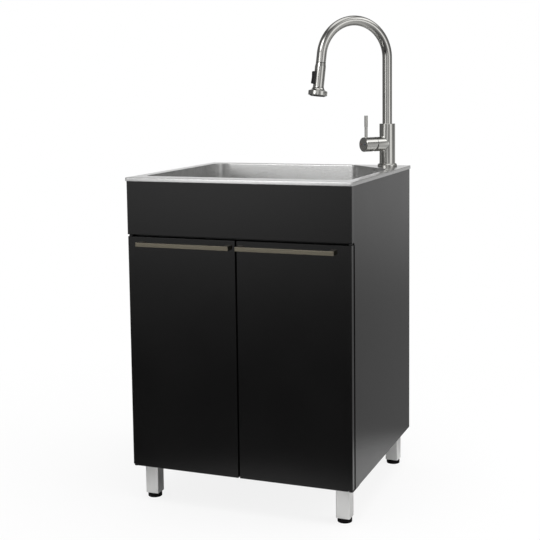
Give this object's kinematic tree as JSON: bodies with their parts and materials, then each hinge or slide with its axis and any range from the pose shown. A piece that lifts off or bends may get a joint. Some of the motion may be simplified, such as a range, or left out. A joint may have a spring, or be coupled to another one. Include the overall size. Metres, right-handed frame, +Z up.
{
  "type": "sink cabinet",
  "caption": "Free-standing black sink cabinet on steel legs, with a stainless bowl that forms the top, swing doors with bar handles, and a pull-down mixer tap on a corner deck.",
  "frame": {"origin": "on the floor, in the middle of the footprint from the handles' fronts to the rear of the rim", "axes": "+X to the right seen from the front, +Y to the back, +Z up"},
  "size_m": [0.61, 0.586, 1.272],
  "materials": {
    "black_panel": "satin black laminate on board",
    "handle_metal": "brushed dark nickel",
    "leg_steel": "brushed",
    "black_plastic": "moulded",
    "sink_steel": "satin stainless",
    "drain_steel": "polished stainless",
    "tap_metal": "brushed nickel",
    "spray_shell": "brushed nickel plate on plastic",
    "white_plastic": "nylon",
    "rubber": "moulded",
    "zinc_steel": "zinc plated",
    "black_steel": "black powder coat"
  },
  "bodies": {
    "cabinet": {"left_side_panel": "black_panel", "right_side_panel": "black_panel", "floor_panel": "black_panel", "front_rail": "black_panel", "upper_back_rail": "black_panel", "lower_back_rail": "black_panel", "apron_panel": "black_panel", "apron_screws": "zinc_steel", "cam_fittings": "zinc_steel", "leg_front_left": "leg_steel", "leg_front_right": "leg_steel", "leg_rear_left": "leg_steel", "leg_rear_right": "leg_steel", "leg_inserts": "black_plastic", "panel_screws": "zinc_steel", "upper_hinge_plates": "black_steel", "lower_hinge_plates": "black_steel", "hinge_pins": "zinc_steel", "hinge_washers": "black_plastic", "hinge_screws": "zinc_steel", "door_bumpers": "rubber", "sink": "sink_steel", "sink_clips": "zinc_steel", "strainer_body": "drain_steel", "drain_gasket": "rubber", "drain_locknut": "drain_steel", "tailpiece": "drain_steel", "tailpiece_nut": "black_plastic", "tap_flange": "tap_metal", "tap_body": "tap_metal", "tap_shank": "zinc_steel", "tap_washer": "rubber", "tap_nut": "zinc_steel", "valve_cartridge": "white_plastic", "spout_bushing": "white_plastic"},
    "left_door": {"left_door": "black_panel", "left_handle": "handle_metal", "left_handle_screws": "zinc_steel", "left_door_bushes": "white_plastic"},
    "right_door": {"right_door": "black_panel", "right_handle": "handle_metal", "right_handle_screws": "zinc_steel", "right_door_bushes": "white_plastic"},
    "foot_front_left": {"foot_front_left": "black_plastic"},
    "foot_front_right": {"foot_front_right": "black_plastic"},
    "foot_rear_left": {"foot_rear_left": "black_plastic"},
    "foot_rear_right": {"foot_rear_right": "black_plastic"},
    "basket": {"strainer_basket": "drain_steel", "basket_plate": "drain_steel", "basket_knob": "drain_steel"},
    "valve_rotor": {"valve_rotor": "white_plastic"},
    "tap_handle": {"handle_hub": "tap_metal", "handle_lever": "tap_metal"},
    "spout": {"spout": "tap_metal", "spray_dock": "black_plastic"},
    "spray_head": {"spray_head": "spray_shell", "nozzle_ring": "spray_shell", "spray_face": "rubber"},
    "spray_button": {"spray_button": "black_plastic"}
  },
  "joints": [
    {"name": "left_door_swing", "type": "hinge", "parent": "cabinet", "child": "left_door", "pos_m": [-0.29569, -0.255, 0.4], "axis": [0, 0, -1], "range_deg": [0, 110]},
    {"name": "right_door_swing", "type": "hinge", "parent": "cabinet", "child": "right_door", "pos_m": [0.29569, -0.255, 0.4], "axis": [0, 0, 1], "range_deg": [0, 110]},
    {"name": "foot_front_left_level", "type": "slide", "parent": "cabinet", "child": "foot_front_left", "axis": [0, 0, -1], "range_m": [0, 0.02]},
    {"name": "foot_front_right_level", "type": "slide", "parent": "cabinet", "child": "foot_front_right", "axis": [0, 0, -1], "range_m": [0, 0.02]},
    {"name": "foot_rear_left_level", "type": "slide", "parent": "cabinet", "child": "foot_rear_left", "axis": [0, 0, -1], "range_m": [0, 0.02]},
    {"name": "foot_rear_right_level", "type": "slide", "parent": "cabinet", "child": "foot_rear_right", "axis": [0, 0, -1], "range_m": [0, 0.02]},
    {"name": "basket_lift", "type": "slide", "parent": "cabinet", "child": "basket", "axis": [0, 0, 1], "range_m": [0, 0.3]},
    {"name": "mix_turn", "type": "hinge", "parent": "cabinet", "child": "valve_rotor", "pos_m": [0.23091, 0.21857, 0.919], "axis": [-0.6157, -0.788, 0], "range_deg": [-45, 45]},
    {"name": "flow_tilt", "type": "hinge", "parent": "valve_rotor", "child": "tap_handle", "pos_m": [0.23091, 0.21857, 0.919], "axis": [0.788, -0.6157, 0], "range_deg": [0, 22]},
    {"name": "spout_swivel", "type": "hinge", "parent": "cabinet", "child": "spout", "pos_m": [0.25, 0.243, 0.975], "axis": [0, 0, 1], "continuous": true},
    {"name": "spray_pull", "type": "slide", "parent": "spout", "child": "spray_head", "axis": [-0.0847, -0.0877, -0.9925], "range_m": [0, 0.18]},
    {"name": "button_rock", "type": "hinge", "parent": "spray_head", "child": "spray_button", "pos_m": [0.09523, 0.08273, 1.10427], "axis": [0.7193, -0.6947, 0], "range_deg": [-4, 4]}
  ]
}
